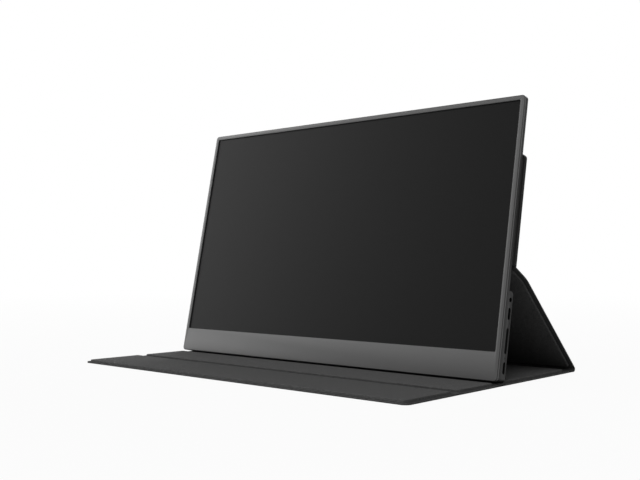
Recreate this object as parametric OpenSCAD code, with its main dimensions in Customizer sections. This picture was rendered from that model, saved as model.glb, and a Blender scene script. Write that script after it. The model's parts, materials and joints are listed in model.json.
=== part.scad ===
// Portable monitor standing in its folding cover.
// Millimetres. X runs along the screen to the viewer's right, Y to the back, Z up from the desk.
// The origin is the middle of the floor area. The monitor's own pieces are drawn in its frame:
// x along the screen, y as depth behind the bezel's face, z up the face from its lower edge.

/* [Screen] */
// Width of the opening in the bezel
screen_w = 345; // [320:1:370]
// Height of the opening in the bezel
screen_h = 193.4; // [180:0.2:210]
// Bezel width at each side
side_bezel = 3.7; // [3.4:0.1:6]
// Bezel width above the screen
top_bezel = 3.7; // [3.4:0.1:6]
// Bezel height below the screen
chin_h = 21.3; // [20:0.1:28]
// How far the bezel's face stands in front of the screen
bezel_lip = 1; // [0.8:0.1:1.4]
// Width of the black gasket line inside the opening
gasket_w = 0.35; // [0.25:0.05:0.6]

/* [Housing] */
// Depth of the thin upper part
thin_d = 5.8; // [5.6:0.1:7]
// Depth of the thick band along the bottom
bulge_d = 11; // [10.8:0.1:13]
// Height of the thick band
bulge_h = 67.3; // [66.5:0.1:74]
// Depth of the bezel's own side
bezel_d = 2; // [1.8:0.1:2.2]
// Width of the parting line between bezel and housing
parting = 0.25; // [0.15:0.05:0.4]
// Side wall of the bezel and the housing
wall = 1.2; // [1:0.1:1.5]
// Back wall of the housing
back_wall = 1; // [0.9:0.1:1.2]
// Radius of the outline's corners
corner_r = 3; // [2:0.1:5]
// Chamfer round the bezel's face
bezel_chamfer = 0.6; // [0.3:0.1:0.8]
// Radius of the lower rear edge
foot_edge_r = 2.2; // [1.5:0.1:3]
// Radius of the thick band's upper rear edge
bulge_edge_r = 2.5; // [1.5:0.1:3]

/* [Side connections] */
// Depth of the sockets' centre line behind the face
port_d = 7.9; // [7.8:0.05:8]
// Height of the headphone socket
jack_z = 61; // [58:0.1:61.4]
// Radius of the headphone socket's bore
jack_r = 1.8; // [1.75:0.01:1.85]
// Length of the headphone socket
jack_l = 11; // [9:0.5:14]
// Height of the upper USB-C socket
upper_usb_z = 50.5; // [49:0.1:50.6]
// Height of the lower USB-C socket
lower_usb_z = 10.5; // [9:0.1:11.5]
// Height of the rocker key
rocker_z = 30.5; // [29.5:0.1:32]
// Length of the slot for the rocker key
rocker_l = 19.2; // [17:0.1:20]
// Width of the slot for the rocker key
rocker_w = 2.9; // [2.6:0.1:3]
// Height of the status light
light_z = 17.8; // [17.4:0.1:18.4]

/* [Cover] */
// How far the cover stands out past the monitor at each side
cover_margin = 1.2; // [0.5:0.1:4]
// Thickness of the outer skin
skin_t = 0.65; // [0.5:0.05:0.9]
// Thickness of the boards
board_t = 1.6; // [1.2:0.1:2]
// Thickness of the lining
lining_t = 0.55; // [0.4:0.05:0.7]
// Border of soft material round each board
border = 3.2; // [3:0.1:7]
// Radius of the cover's front corners
cover_r = 5; // [4.5:0.5:12]
// Length of the front board
front_l = 51.4; // [40:0.1:60]
// Width of the second groove
second_groove_w = 9.5; // [8:0.1:14]
// Length of the middle board
middle_l = 44.3; // [36:0.1:55]
// Width of the first groove, in which the monitor stands
groove_w = 13.5; // [13:0.1:18]
// Width of the soft strip between the rear board and the foot fold
spine_w = 13.4; // [9:0.1:40]
// Thickness of the non-slip strip in the first groove
grip_t = 0.5; // [0.1:0.05:0.6]

/* [Leg] */
// Backward lean of the monitor
lean = 11.6; // [8:0.1:18]
// Leg from the foot to its bend
leg_l = 107; // [102:0.1:118]
// Leg from its bend to the top fold
ramp_l = 19.2; // [17:0.1:22]
// Angle of the leg's bend
bend = 14; // [10:0.5:18]
// Radius of the leg's bend
bend_r = 44; // [20:1:60]
// Radius of the rolled foot fold
roll_r = 2.2; // [1.9:0.05:2.6]
// Soft strip between the foot and the leg's board
foot_soft = 3.6; // [3.4:0.1:14]

/* [Back panel] */
// Height of the top fold above the monitor's lower edge
panel_z = 84.9; // [80:0.1:90]
// Height of the back panel
panel_h = 88.1; // [75:0.1:100]
// Thickness of the back panel's board
panel_board_t = 2.2; // [1.9:0.1:2.6]
// Radius of the back panel's upper corners
panel_r = 3.5; // [3:0.5:10]

/* [Hidden] */
$fn = 48;
EDGE_FN = 32;
gap = 0.3;
seat = 0.2;
joint_gap = 0.1;
over = 1;

// Monitor
mon_w = screen_w + 2 * side_bezel;
mon_h = chin_h + screen_h + top_bezel;
split_d = bezel_d + parting;
inner_w = mon_w - 2 * wall;
back_d = bulge_d - back_wall;
thin_back_d = thin_d - back_wall;
lip_in = 0.5;
opening_r = 0.8;

// Display panel, as layers behind the bezel
layer_w = inner_w - 2 * gap;
under_chin = 7.3;
layer_z = chin_h - under_chin;
layer_h = mon_h - wall - gap - layer_z;
polariser_t = 0.3;
cell_t = 1;
films_t = 0.3;
reflector_t = 0.15;
plate_t = 0.3;
cell_d = bezel_lip + polariser_t;
films_d = cell_d + cell_t;
guide_d = films_d + films_t;
plate_d = thin_back_d - seat - plate_t;
reflector_d = plate_d - reflector_t;
guide_t = reflector_d - guide_d;
polariser_in = 1.5;
cell_in = 0.5;
frame_w = 2.2;
stack_in = frame_w + seat;
led_h = 1.8;

// Boards of the electronics
driver_w = 220;
driver_z = 3;
driver_h = layer_z - driver_z - 1.6;
driver_d = bezel_lip + 1.6;
driver_t = 1;
chip_w = 10;
chip_h = 5;
chip_t = 0.8;
chip_x = [-70, 0, 70];
rib_w = 3;
flex_n = 8;
flex_w = 14;
flex_t = 0.2;
flex_d = cell_d + gap;
flex_z = driver_z + 4;
cable_w = 7;
cable_l = 12;
pcb_t = 1;
usb_w = 8.94;
usb_t = 3.16;
usb_l = 7.4;
usb_wall = 0.3;
usb_tongue_t = 0.7;
usb_tongue_w = 6.6;
pcb_d = port_d - usb_t / 2;
pcb_l = 46;
pcb_x1 = inner_w / 2 - 0.6;
pcb_x0 = pcb_x1 - pcb_l;
pcb_z0 = wall + 1.8;
pcb_z1 = bulge_h - 3.6;
key_notch = 1.4;
notch_in = 2.4;
boss_r = 2.2;
screw_r = 0.95;
screw_head_r = 1.8;
screw_head_t = 0.5;
screw_l = 3.4;
screw_gap = 0.05;
screw_in = 4;
low_screw_in = 15;
jack_screw_in = 19;
screw_xz = [[pcb_x0 + low_screw_in, pcb_z0 + screw_in], [pcb_x0 + screw_in, pcb_z1 - screw_in],
            [pcb_x1 - low_screw_in, pcb_z0 + screw_in], [pcb_x1 - jack_screw_in, pcb_z1 - screw_in]];
jack_w = 5.4;
jack_back = 1;
jack_t = 2 * (back_d - port_d) - 0.1;
jack_x = inner_w / 2;
speaker_w = 35;
speaker_h = 14;
speaker_t = 3.1;
speaker_x = 97.5;
speaker_z = wall + 2.8;
speaker_slots = 8;
slot_w = 1.2;
slot_in = 3;
can_in = 12;
can_up = 18;
can_x = pcb_x0 + can_in;
can_z = pcb_z0 + can_up;
can_w = 18;
can_h = 22;
can_t = 2;
header_w = 6;
header_h = 26;
coil_t = 1.4;
coil_w = 6;
coil_in = 10;
coil_low = 12;
coil_high = 20;

// Rocker key
key_gap = 0.3;
key_proud = 0.1;
key_depth = 1.7;
flange_x = mon_w / 2 - wall - 1.7;
flange_t = 1.1;
trunnion_r = 0.7;
trunnion_gap = 0.07;
trunnion_in = 0.4;
trunnion_x = flange_x + 0.2;
ear_d0 = pcb_d - 1;
ear_d1 = port_d - key_depth - 0.2;
ear_r = 1.8;
flange_l = rocker_l + 1.2;
nub_z = 6.5;
nub_l = 0.7;
nub_r = 0.8;
switch_r = 2.2;
switch_t = 2.8;
switch_l = 3.4;
plunger_l = 1;
switch_x = flange_x - nub_l - 0.35;
light_r = 0.55;
light_l = 3;

// Cover
cover_w = mon_w + 2 * cover_margin;
cover_t = skin_t + board_t + lining_t;
soft_t = skin_t + lining_t;
board_w = cover_w - 2 * border;
board_r = cover_r - border + 0.5;

// The monitor's lower edge stands just above the strip in the groove
grip_z = soft_t + grip_t;
toe_gap = 1.7;
stand_z = grip_z + gap + (bulge_d - foot_edge_r) * sin(lean) + foot_edge_r * (1 - cos(lean));

// Top fold: a bead on the back panel's lower edge
bead_r = soft_t / 2;
panel_t = lining_t + panel_board_t + skin_t;
bead_d = thin_d + panel_t - bead_r;
bead_z = panel_z + bead_r;
fold_rise = stand_z + bead_z * cos(lean) - bead_d * sin(lean) - roll_r;
fold_reach = toe_gap + bead_d * cos(lean) + bead_z * sin(lean);

// Leg in its own frame, laid flat: the foot fold's axis is at [0, roll_r]
leg_bead = [leg_l + ramp_l * cos(bend) - bead_r * sin(bend),
            ramp_l * sin(bend) + bead_r * cos(bend) - roll_r];
leg_chord = norm(leg_bead);
leg_turn = 180 - asin(fold_rise / leg_chord) - atan2(leg_bead[1], leg_bead[0]);
foot_reach = fold_reach + sqrt(pow(leg_chord, 2) - pow(fold_rise, 2));

// Places along the base, with the floor area's middle at zero
front_reach = middle_l + second_groove_w + front_l + border + 0.2;
groove_y = (front_reach - foot_reach - roll_r) / 2;
middle_y1 = groove_y - 0.2;
middle_y0 = middle_y1 - middle_l;
second_y = middle_y0 - second_groove_w / 2;
front_y1 = middle_y0 - second_groove_w;
front_y0 = front_y1 - front_l;
cover_y0 = front_y0 - border;
rear_y0 = groove_y + groove_w;
stand_y = groove_y + toe_gap;
foot_y = groove_y + foot_reach;
rear_y1 = foot_y - spine_w;

// Magnets of the back panel and the plates that they hold
magnet_r = 5;
magnet_t = 1.2;
keeper_t = 0.5;
keeper_h = 12;
magnet_pitch = 70;
magnet_low = 22;
magnet_high = 16;
magnet_x = [for (k = [-2, -1, 1, 2]) k * magnet_pitch];
magnet_z = [panel_z + magnet_low, panel_z + panel_h - magnet_high];

// ---- Shapes used by many pieces ----

// Rectangle with four round corners, centred on x, lower edge at y = 0
module round_rect(w, h, r) {
    translate([-w / 2 + r, 0]) square([w - 2 * r, h]);
    translate([-w / 2, r]) square([w, h - 2 * r]);
    for (x = [-w / 2 + r, w / 2 - r], y = [r, h - r]) translate([x, y]) circle(r);
}

// Rectangle from y0 to y1, centred on x, with round corners at y0 only
module flap_outline(w, y0, y1, r) {
    translate([-w / 2, y0 + r]) square([w, y1 - y0 - r]);
    translate([-w / 2 + r, y0]) square([w - 2 * r, 2 * r]);
    for (x = [-w / 2 + r, w / 2 - r]) translate([x, y0 + r]) circle(r);
}

// Rectangle whose two corners at d1 are round
module edge_rect(d0, d1, z0, z1, r0, r1) {
    translate([d0, z0]) square([d1 - d0 - r0, z1 - z0 - r1]);
    translate([d0, z0 + r0]) square([d1 - d0 - r1, z1 - z0 - r0]);
    translate([d0, z0 + r0]) square([d1 - d0, z1 - z0 - r0 - r1]);
    translate([d1 - r0, z0 + r0]) circle(r0);
    translate([d1 - r1, z1 - r1]) circle(r1);
}

// Stadium of length l and width w, along y
module stadium(l, w) {
    translate([-w / 2, -(l - w) / 2]) square([w, l - w]);
    for (side = [-1, 1]) translate([0, side * (l - w) / 2]) circle(d = w);
}

// Side-view outline, extruded along X
module along_x(x0, x1) {
    translate([x0, 0, 0]) rotate([90, 0, 90]) linear_extrude(x1 - x0) children();
}

// Plate that faces the viewer, from depth d0 to d1
module slab(w, h, r, d0, d1, z0 = 0) {
    translate([0, d1, z0]) rotate([90, 0, 0]) linear_extrude(d1 - d0) round_rect(w, h, r);
}

// Block from corner a to corner b
module block(a, b) {
    translate(a) cube(b - a);
}

// Cylinder along the depth
module depth_rod(x, z, d0, d1, r) {
    translate([x, d1, z]) rotate([90, 0, 0]) cylinder(h = d1 - d0, r = r);
}

// Stadium through the right side, with its long way up
module side_slot(z, l, w, x0, x1) {
    along_x(x0, x1) translate([port_d, z]) stadium(l, w);
}

// Round hole through the right side
module side_hole(z, r) {
    translate([inner_w / 2 - over, port_d, z]) rotate([0, 90, 0]) cylinder(h = wall + 2 * over, r = r);
}

module in_monitor() {
    translate([0, stand_y, stand_z]) rotate([-lean, 0, 0]) children();
}

// ---- Monitor: casing ----

module front_bezel() color("dimgray") in_monitor() {
    difference() {
        hull() {
            slab(mon_w - 2 * bezel_chamfer, mon_h - 2 * bezel_chamfer, corner_r - bezel_chamfer,
                 0, 0.01, bezel_chamfer, $fn = EDGE_FN);
            slab(mon_w, mon_h, corner_r, bezel_chamfer, bezel_d, $fn = EDGE_FN);
        }
        slab(screen_w, screen_h, opening_r, -over, bezel_d + over, chin_h);
        slab(inner_w, mon_h - 2 * wall, corner_r - wall, bezel_lip, bezel_d + over, wall);
    }
    for (i = [0:flex_n]) {
        x = (i - flex_n / 2) * driver_w / flex_n;
        block([x - rib_w / 2, bezel_lip, driver_z + 2], [x + rib_w / 2, driver_d, driver_z + driver_h - 1]);
    }
}

// Side view of the housing, or of its inside
module housing_profile(d0, thin, bulge, inset, r0, r1) {
    translate([d0, inset]) square([thin - d0, mon_h - 2 * inset]);
    edge_rect(d0, bulge, inset, bulge_h - inset, r0, r1);
}

module housing_inside() {
    along_x(-inner_w / 2, inner_w / 2)
        housing_profile(bezel_d - over, thin_back_d, back_d, wall, foot_edge_r - wall, bulge_edge_r - wall);
}

module speaker_grille(x) {
    for (i = [0:speaker_slots - 1]) {
        x0 = x + (2 * i - speaker_slots) * slot_w;
        block([x0, back_d - over, speaker_z + slot_in],
              [x0 + slot_w, bulge_d + over, speaker_z + speaker_h - slot_in]);
    }
}

module rear_housing() color([0.2, 0.2, 0.21]) in_monitor() difference() {
    union() {
        difference() {
            union() {
                intersection() {
                    slab(mon_w, mon_h, corner_r, split_d, bulge_d);
                    along_x(-mon_w / 2, mon_w / 2)
                        housing_profile(split_d, thin_d, bulge_d, 0, foot_edge_r, bulge_edge_r);
                }
                slab(mon_w - 2 * lip_in, mon_h - 2 * lip_in, corner_r - lip_in, bezel_d, split_d, lip_in);
            }
            housing_inside();
        }
        for (p = screw_xz) depth_rod(p[0], p[1], pcb_d, back_d + back_wall / 2, boss_r);
        block([trunnion_x - ear_r, ear_d0, rocker_z - ear_r],
              [mon_w / 2 - wall / 2, ear_d1, rocker_z + ear_r]);
    }
    for (p = screw_xz) depth_rod(p[0], p[1], pcb_d - over, pcb_d + screw_l - pcb_t, screw_r + screw_gap);
    side_hole(jack_z, jack_r);
    for (z = [upper_usb_z, lower_usb_z])
        side_slot(z, usb_w, usb_t, inner_w / 2 - over, mon_w / 2 + over);
    side_slot(rocker_z, rocker_l, rocker_w, inner_w / 2 - over, mon_w / 2 + over);
    side_hole(light_z, light_r + screw_gap);
    depth_rod(trunnion_x, rocker_z, ear_d0 - over, back_d + trunnion_in + seat, trunnion_r + trunnion_gap);
    for (side = [-1, 1]) speaker_grille(side * speaker_x);
    for (x = magnet_x, z = magnet_z)
        block([x - keeper_h / 2, thin_back_d - over, z - keeper_h / 2],
              [x + keeper_h / 2, thin_back_d + keeper_t, z + keeper_h / 2]);
}

module screen_gasket() color("black") in_monitor() difference() {
    slab(screen_w, screen_h, opening_r, bezel_lip / 4, bezel_lip, chin_h);
    slab(screen_w - 2 * gasket_w, screen_h - 2 * gasket_w, opening_r - gasket_w, 0, bezel_lip + over,
         chin_h + gasket_w);
}

// ---- Monitor: display panel ----

// Layer of the display panel, set in from the panel's outline
module layer(inset, d0, t, raise = 0) {
    block([-layer_w / 2 + inset, d0, layer_z + inset + raise],
          [layer_w / 2 - inset, d0 + t, layer_z + layer_h - inset]);
}

module screen_polariser() color([0.12, 0.12, 0.12]) in_monitor() layer(polariser_in, bezel_lip, polariser_t);

module lcd_cell() color([0.35, 0.4, 0.45]) in_monitor() layer(cell_in, cell_d, cell_t);

module optical_films() color("whitesmoke") in_monitor() layer(stack_in, films_d, films_t);

module light_guide() color("lightcyan") in_monitor() layer(stack_in, guide_d, guide_t, led_h + seat);

module reflector_sheet() color("white") in_monitor() layer(stack_in, reflector_d, reflector_t);

module led_strip() color("khaki") in_monitor() {
    block([-layer_w / 2 + stack_in, guide_d, layer_z + stack_in],
          [layer_w / 2 - stack_in, reflector_d, layer_z + stack_in + led_h]);
}

module panel_frame() color([0.15, 0.15, 0.15]) in_monitor() difference() {
    layer(0, films_d, plate_d - films_d);
    layer(frame_w, films_d - over, plate_d - films_d + 2 * over);
}

module panel_backplate() color("silver") in_monitor() layer(0, plate_d, plate_t);

// ---- Monitor: electronics ----

module driver_board() color("darkgreen") in_monitor() {
    block([-driver_w / 2, driver_d, driver_z], [driver_w / 2, driver_d + driver_t, driver_z + driver_h]);
    for (x = chip_x)
        block([x - chip_w / 2, driver_d + driver_t, driver_z + 2],
              [x + chip_w / 2, driver_d + driver_t + chip_t, driver_z + 2 + chip_h]);
}

// Flexes run from the cell's lower edge down in front of the driver board, and turn in to it
module driver_flexes() color("peru") in_monitor() {
    for (i = [0:flex_n - 1]) {
        x = (i - flex_n / 2 + 0.5) * driver_w / flex_n;
        block([x - flex_w / 2, flex_d, flex_z], [x + flex_w / 2, flex_d + flex_t, layer_z + cell_in]);
        block([x - flex_w / 2, flex_d, flex_z], [x + flex_w / 2, driver_d, flex_z + flex_t]);
    }
}

module main_board() color("seagreen") in_monitor() difference() {
    union() {
        block([pcb_x0, pcb_d - pcb_t, pcb_z0], [pcb_x1, pcb_d, pcb_z1]);
        block([pcb_x0 + 3, pcb_d, can_z - 4], [pcb_x0 + 3 + header_w, pcb_d + can_t, can_z - 4 + header_h]);
        for (z = [pcb_z0 + coil_low, pcb_z1 - coil_high])
            block([pcb_x1 - coil_in - coil_w, pcb_d, z], [pcb_x1 - coil_in, pcb_d + coil_t, z + chip_h]);
    }
    block([switch_x - key_notch, pcb_d - pcb_t - over, rocker_z - rocker_l / 2 - notch_in],
          [pcb_x1 + over, pcb_d + over, rocker_z + rocker_l / 2 + notch_in]);
    block([jack_x - jack_l - jack_back - seat, pcb_d - pcb_t - over, jack_z - jack_w / 2 - seat],
          [pcb_x1 + over, pcb_d + over, jack_z + jack_w / 2 + seat]);
    for (p = screw_xz) depth_rod(p[0], p[1], pcb_d - pcb_t - over, pcb_d + over, screw_r + seat);
}

// Flat cable from the driver board's back to the main board's front
module panel_cable() color("orange") in_monitor() {
    cable_x = pcb_x0 - 2;
    driver_back = driver_d + driver_t;
    pcb_front = pcb_d - pcb_t;
    z0 = driver_z + 1;
    z1 = z0 + cable_w;
    block([driver_w / 2 - cable_l, driver_back, z0], [cable_x, driver_back + flex_t, z1]);
    block([cable_x - flex_t, driver_back, z0], [cable_x, pcb_front, z1]);
    block([cable_x - flex_t, pcb_front - flex_t, z0], [cable_x + cable_l, pcb_front, z1]);
}

module shield_can() color("silver") in_monitor() difference() {
    block([can_x, pcb_d, can_z], [can_x + can_w, pcb_d + can_t, can_z + can_h]);
    block([can_x + usb_wall, pcb_d - over, can_z + usb_wall],
          [can_x + can_w - usb_wall, pcb_d + can_t - usb_wall, can_z + can_h - usb_wall]);
}

// Metal shell with a contact tongue, its mouth at the side wall
module usb_c_port(z) color([0.3, 0.3, 0.32]) in_monitor() {
    x1 = inner_w / 2 - joint_gap;
    difference() {
        side_slot(z, usb_w, usb_t, x1 - usb_l, x1);
        side_slot(z, usb_w - 2 * usb_wall, usb_t - 2 * usb_wall, x1 - usb_l + 1, x1 + over);
    }
    block([x1 - usb_l + 1, port_d - usb_tongue_t / 2, z - usb_tongue_w / 2],
          [x1 - 1, port_d + usb_tongue_t / 2, z + usb_tongue_w / 2]);
}

module upper_usb_c_port() usb_c_port(upper_usb_z);

module lower_usb_c_port() usb_c_port(lower_usb_z);

module headphone_jack() color([0.05, 0.05, 0.05]) in_monitor() difference() {
    block([jack_x - jack_l - jack_back, port_d - jack_t / 2, jack_z - jack_w / 2],
          [jack_x, port_d + jack_t / 2, jack_z + jack_w / 2]);
    translate([jack_x - jack_l, port_d, jack_z]) rotate([0, 90, 0]) cylinder(h = jack_l + over, r = jack_r);
}

module rocker_key() color([0.04, 0.04, 0.04]) in_monitor() {
    side_slot(rocker_z, rocker_l - 2 * key_gap, rocker_w - 2 * key_gap, flange_x, mon_w / 2 + key_proud);
    block([flange_x, port_d - key_depth, rocker_z - flange_l / 2],
          [flange_x + flange_t, port_d + key_depth, rocker_z + flange_l / 2]);
    depth_rod(trunnion_x, rocker_z, ear_d0, back_d + trunnion_in, trunnion_r);
    for (side = [-1, 1])
        block([flange_x - nub_l, port_d - nub_r, rocker_z + side * nub_z - nub_r],
              [flange_x, port_d + nub_r, rocker_z + side * nub_z + nub_r]);
}

// Two side-push switches on the main board, their plungers facing the rocker's nubs
module key_switches() color("gray") in_monitor() {
    for (side = [-1, 1]) {
        z = rocker_z + side * nub_z;
        body_x = switch_x - plunger_l;
        block([body_x - switch_l, pcb_d, z - switch_r], [body_x, pcb_d + switch_t, z + switch_r]);
        block([body_x, port_d - nub_r, z - nub_r], [switch_x, port_d + nub_r, z + nub_r]);
    }
}

module status_light_pipe() color("aliceblue") in_monitor() {
    light_x = pcb_x1 - light_l;
    translate([light_x, port_d, light_z]) rotate([0, 90, 0])
        cylinder(h = mon_w / 2 - light_x, r = light_r);
    block([light_x - 2, pcb_d, light_z - nub_r], [light_x, port_d + light_r, light_z + nub_r]);
}

module speaker(x) color([0.1, 0.1, 0.1]) in_monitor() {
    block([x - speaker_w / 2, back_d - speaker_t, speaker_z],
          [x + speaker_w / 2, back_d, speaker_z + speaker_h]);
}

module left_speaker() speaker(-speaker_x);

module right_speaker() speaker(speaker_x);

module board_screws() color("silver") in_monitor() for (p = screw_xz) {
    head_d = pcb_d - pcb_t;
    depth_rod(p[0], p[1], head_d - screw_head_t, head_d, screw_head_r);
    depth_rod(p[0], p[1], head_d, head_d + screw_l - seat, screw_r);
}

module keeper_plates() color("slategray") in_monitor() for (x = magnet_x, z = magnet_z)
    block([x - keeper_h / 2, thin_back_d, z - keeper_h / 2],
          [x + keeper_h / 2, thin_back_d + keeper_t, z + keeper_h / 2]);

// ---- Cover: back panel, in the monitor's frame ----

panel_soft = 3;
panel_board_z = panel_z + panel_soft;
panel_board_h = panel_h - panel_soft - border;
panel_board_r = panel_r - 2;

// Layer of the panel with two round corners above
module panel_slab(w, h, r, d0, d1) {
    translate([0, d1, panel_board_z]) rotate([90, 0, 0]) linear_extrude(d1 - d0)
        mirror([0, 1]) flap_outline(w, -h, 0, r);
}

module back_panel_lining() color([0.15, 0.15, 0.15]) in_monitor()
    panel_slab(cover_w, panel_h - panel_soft, panel_r, thin_d, thin_d + lining_t);

module back_panel_board() color("burlywood") in_monitor() difference() {
    d0 = thin_d + lining_t;
    panel_slab(board_w, panel_board_h, panel_board_r, d0, d0 + panel_board_t);
    for (x = magnet_x, z = magnet_z) depth_rod(x, z, d0 - over, d0 + magnet_t, magnet_r);
}

// The skin wraps the board's edges and ends below in the bead of the top fold
module back_panel_skin() color([0.13, 0.13, 0.13]) in_monitor() {
    d0 = thin_d + lining_t;
    difference() {
        panel_slab(cover_w, panel_h - panel_soft, panel_r, d0, d0 + panel_board_t + skin_t);
        panel_slab(board_w, panel_board_h, panel_board_r, d0 - over, d0 + panel_board_t);
    }
    along_x(-cover_w / 2, cover_w / 2) {
        translate([bead_d - bead_r, bead_z]) square([2 * bead_r, panel_board_z - bead_z]);
        translate([bead_d, bead_z]) circle(bead_r);
    }
}

module back_panel_magnets() color("lightslategray") in_monitor()
    for (x = magnet_x, z = magnet_z)
        depth_rod(x, z, thin_d + lining_t, thin_d + lining_t + magnet_t, magnet_r);

// ---- Cover: leg, drawn flat and turned up about the foot fold ----

arc_n = 8;
arc_y = leg_l - bend_r * tan(bend / 2);

// Point of the leg's side view at height n above its outer face, after k of the bend's steps
function bend_point(k, n) = let (a = bend * k / arc_n)
    [arc_y + (bend_r - n) * sin(a), bend_r - (bend_r - n) * cos(a)];
function ramp_point(s, n) = [leg_l + s * cos(bend) - n * sin(bend), s * sin(bend) + n * cos(bend)];
function leg_line(y0, s1, n) = concat([[y0, n]], [for (k = [0:arc_n]) bend_point(k, n)],
                                      [ramp_point(s1, n)]);
function backwards(points) = [for (i = [len(points) - 1:-1:0]) points[i]];

// Sheet of the leg from y0 to s1 up the ramp, between two heights above its outer face
module leg_sheet(w, y0, s1, n0, n1) {
    translate([0, foot_y, roll_r]) rotate([leg_turn, 0, 0]) translate([0, 0, -roll_r])
        along_x(-w / 2, w / 2) polygon(concat(leg_line(y0, s1, n0), backwards(leg_line(y0, s1, n1))));
}

leg_y0 = sqrt(pow(roll_r + gap, 2) - pow(roll_r - soft_t, 2)) + 0.1;
leg_s1 = ramp_l - bead_r - gap;
leg_board_s1 = ramp_l - 3.5;

module leg_skin() color([0.13, 0.13, 0.13]) leg_sheet(cover_w, leg_y0, leg_s1, 0, skin_t);

module leg_board() color("burlywood")
    leg_sheet(board_w, foot_soft, leg_board_s1, skin_t, skin_t + board_t);

module leg_lining() color([0.15, 0.15, 0.15]) difference() {
    union() {
        leg_sheet(cover_w, leg_y0, leg_s1, skin_t, soft_t);
        leg_sheet(board_w + 2 * lining_t, foot_soft - lining_t, leg_board_s1 + lining_t, skin_t, cover_t);
    }
    leg_sheet(board_w, foot_soft, leg_board_s1, skin_t, skin_t + board_t);
}

// ---- Cover: base on the desk ----

module flat(z0, z1) {
    translate([0, 0, z0]) linear_extrude(z1 - z0) children();
}

module base_board(y0, y1) color("burlywood")
    flat(skin_t, skin_t + board_t) translate([-board_w / 2, y0]) square([board_w, y1 - y0]);

// Lining from y0 to y1, raised over the board from b0 to b1
module base_lining(y0, y1, b0, b1) color([0.22, 0.22, 0.22]) difference() {
    union() {
        flat(skin_t, soft_t) translate([-cover_w / 2, y0]) square([cover_w, y1 - y0]);
        flat(skin_t, cover_t) translate([-board_w / 2 - lining_t, b0 - lining_t])
            square([board_w + 2 * lining_t, b1 - b0 + 2 * lining_t]);
    }
    flat(0, skin_t + board_t) translate([-board_w / 2, b0]) square([board_w, b1 - b0]);
}

module base_skin(y0, y1) color([0.13, 0.13, 0.13])
    flat(0, skin_t) translate([-cover_w / 2, y0]) square([cover_w, y1 - y0]);

module spine_strip() color([0.13, 0.13, 0.13]) along_x(-cover_w / 2, cover_w / 2) {
    translate([rear_y1 + lining_t, 0]) square([foot_y - rear_y1 - lining_t, soft_t]);
    translate([foot_y, roll_r]) circle(roll_r);
}

module rear_base_skin() base_skin(groove_y + joint_gap, rear_y1 + lining_t);

module rear_base_board() base_board(rear_y0 + lining_t, rear_y1);

module rear_base_lining() base_lining(rear_y0, rear_y1 + lining_t, rear_y0 + lining_t, rear_y1);

module groove_lining() color([0.22, 0.22, 0.22])
    flat(skin_t, soft_t) translate([-cover_w / 2, groove_y + joint_gap])
        square([cover_w, groove_w - joint_gap]);

module groove_strip() color([0.08, 0.08, 0.08])
    flat(soft_t, grip_z) translate([-board_w / 2, groove_y + gap]) square([board_w, groove_w - 2 * gap]);

module middle_flap_skin() base_skin(second_y + joint_gap, groove_y - joint_gap);

module middle_flap_board() base_board(middle_y0 + lining_t, middle_y1 - lining_t);

module middle_flap_lining() base_lining(second_y + joint_gap, groove_y - joint_gap,
                                        middle_y0 + lining_t, middle_y1 - lining_t);

module front_flap_skin() color([0.13, 0.13, 0.13])
    flat(0, skin_t) flap_outline(cover_w, cover_y0, second_y - joint_gap, cover_r);

module front_flap_board() color("burlywood")
    flat(skin_t, skin_t + board_t) flap_outline(board_w, front_y0, front_y1 - lining_t, board_r);

module front_flap_lining() color([0.22, 0.22, 0.22]) difference() {
    union() {
        flat(skin_t, soft_t) flap_outline(cover_w, cover_y0, second_y - joint_gap, cover_r);
        flat(skin_t, cover_t) flap_outline(board_w + 2 * lining_t, front_y0 - lining_t, front_y1,
                                           board_r + lining_t);
    }
    flat(0, skin_t + board_t) flap_outline(board_w, front_y0, front_y1 - lining_t, board_r);
}

front_bezel();
rear_housing();
screen_gasket();
screen_polariser();
lcd_cell();
optical_films();
light_guide();
reflector_sheet();
led_strip();
panel_frame();
panel_backplate();
driver_board();
driver_flexes();
main_board();
panel_cable();
shield_can();
upper_usb_c_port();
lower_usb_c_port();
headphone_jack();
rocker_key();
key_switches();
status_light_pipe();
left_speaker();
right_speaker();
board_screws();
keeper_plates();
back_panel_skin();
back_panel_board();
back_panel_lining();
back_panel_magnets();
leg_skin();
leg_board();
leg_lining();
spine_strip();
rear_base_skin();
rear_base_board();
rear_base_lining();
groove_lining();
groove_strip();
middle_flap_skin();
middle_flap_board();
middle_flap_lining();
front_flap_skin();
front_flap_board();
front_flap_lining();
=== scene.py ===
"""Looks of a portable monitor that stands in its folding cover.

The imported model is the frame. The pieces here stand for its casing and its cover, and ride on its bodies.
Everything is in metres. The monitor's pieces are drawn upright, with y as depth behind the bezel's face
and z up from the lower edge, and are then leaned back into place. The leg's pieces are drawn flat, with
the foot fold at the origin, and are then bent and raised.
"""

import json
import math

import bmesh
import bpy
from bpy.props import FloatProperty, FloatVectorProperty, PointerProperty
from mathutils import Matrix, Vector


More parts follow.
